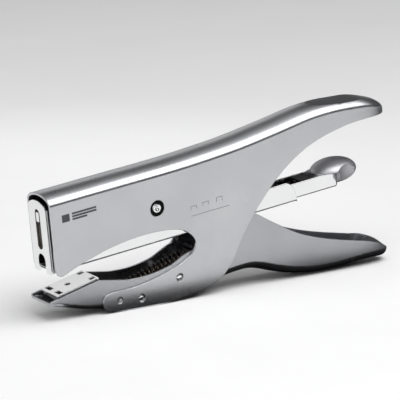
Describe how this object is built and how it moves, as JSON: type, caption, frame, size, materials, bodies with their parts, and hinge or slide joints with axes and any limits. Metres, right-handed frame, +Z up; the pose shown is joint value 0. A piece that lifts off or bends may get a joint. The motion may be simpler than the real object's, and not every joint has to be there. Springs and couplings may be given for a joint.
{
  "type": "plier stapler",
  "caption": "Plier-type stapler of pressed steel: squeeze lever, swinging magazine with dropping driver blade, pull-out feed rail with knob, riveted anvil jaw.",
  "frame": {"origin": "middle of the footprint's bounding box, on the surface that the tool stands on", "axes": "+X from the stapling head towards the handle ends, +Y across the tool, +Z up"},
  "size_m": [0.1932, 0.0196, 0.0825],
  "materials": {
    "satin_steel": "satin nickel-plated pressed steel",
    "bright_chrome": "bright nickel-chrome plated steel",
    "dark_steel": "plain steel, dull",
    "black_steel": "blackened steel, semi-gloss",
    "spring_steel": "oiled spring steel wire",
    "staple_wire": "galvanised staple wire",
    "black_plastic": "moulded black acetal, matt",
    "knob_metal": "satin plated zinc casting"
  },
  "bodies": {
    "frame": {"body_shell": "satin_steel", "lower_jaw": "satin_steel", "anvil_plate": "bright_chrome", "anvil_rivet": "dark_steel", "jaw_rivets": "bright_chrome", "pivot_pin": "bright_chrome", "pivot_collars": "black_steel", "spring_anchor_pin": "dark_steel", "return_spring": "spring_steel"},
    "lever": {"lower_handle": "satin_steel", "spring_hook_pin": "dark_steel", "driver_cross_pin": "dark_steel"},
    "magazine": {"magazine_channel": "bright_chrome", "front_plate": "bright_chrome", "pivot_sleeve": "dark_steel", "staple_strip": "staple_wire"},
    "driver": {"driver_blade": "bright_chrome", "driver_carrier": "dark_steel", "driver_stud": "bright_chrome"},
    "rail": {"core_rail": "bright_chrome", "guide_rod": "dark_steel", "rod_anchor": "black_plastic", "knob": "knob_metal", "knob_rivet": "bright_chrome", "pusher_spring": "spring_steel"},
    "follower": {"pusher_follower": "black_plastic"}
  },
  "joints": [
    {"name": "handle_squeeze", "type": "hinge", "parent": "frame", "child": "lever", "pos_m": [-0.039, 0, 0.04528], "axis": [0, -1, 0], "range_deg": [0, 20.2], "stiffness_Nm_per_rad": 0.6, "springref_deg": -34.38, "deforming": ["return_spring"]},
    {"name": "magazine_swing", "type": "hinge", "parent": "frame", "child": "magazine", "pos_m": [-0.039, 0, 0.04528], "axis": [0, -1, 0], "range_deg": [0, 9.65]},
    {"name": "driver_drop", "type": "slide", "parent": "magazine", "child": "driver", "axis": [0.1127, 0, -0.9936], "range_m": [0, 0.0093]},
    {"name": "rail_pull", "type": "slide", "parent": "magazine", "child": "rail", "axis": [0.9936, 0, 0.1127], "range_m": [0, 0.12]},
    {"name": "follower_slide", "type": "slide", "parent": "rail", "child": "follower", "axis": [0.9936, 0, 0.1127], "range_m": [0, 0.045], "stiffness_N_per_m": 25, "springref_m": -0.09, "deforming": ["pusher_spring"]}
  ],
  "couplings": [
    {"joint": "magazine_swing", "follows": "handle_squeeze", "ratio": 0.47525},
    {"joint": "driver_drop", "follows": "handle_squeeze", "m_per_rad": 0.026331}
  ]
}
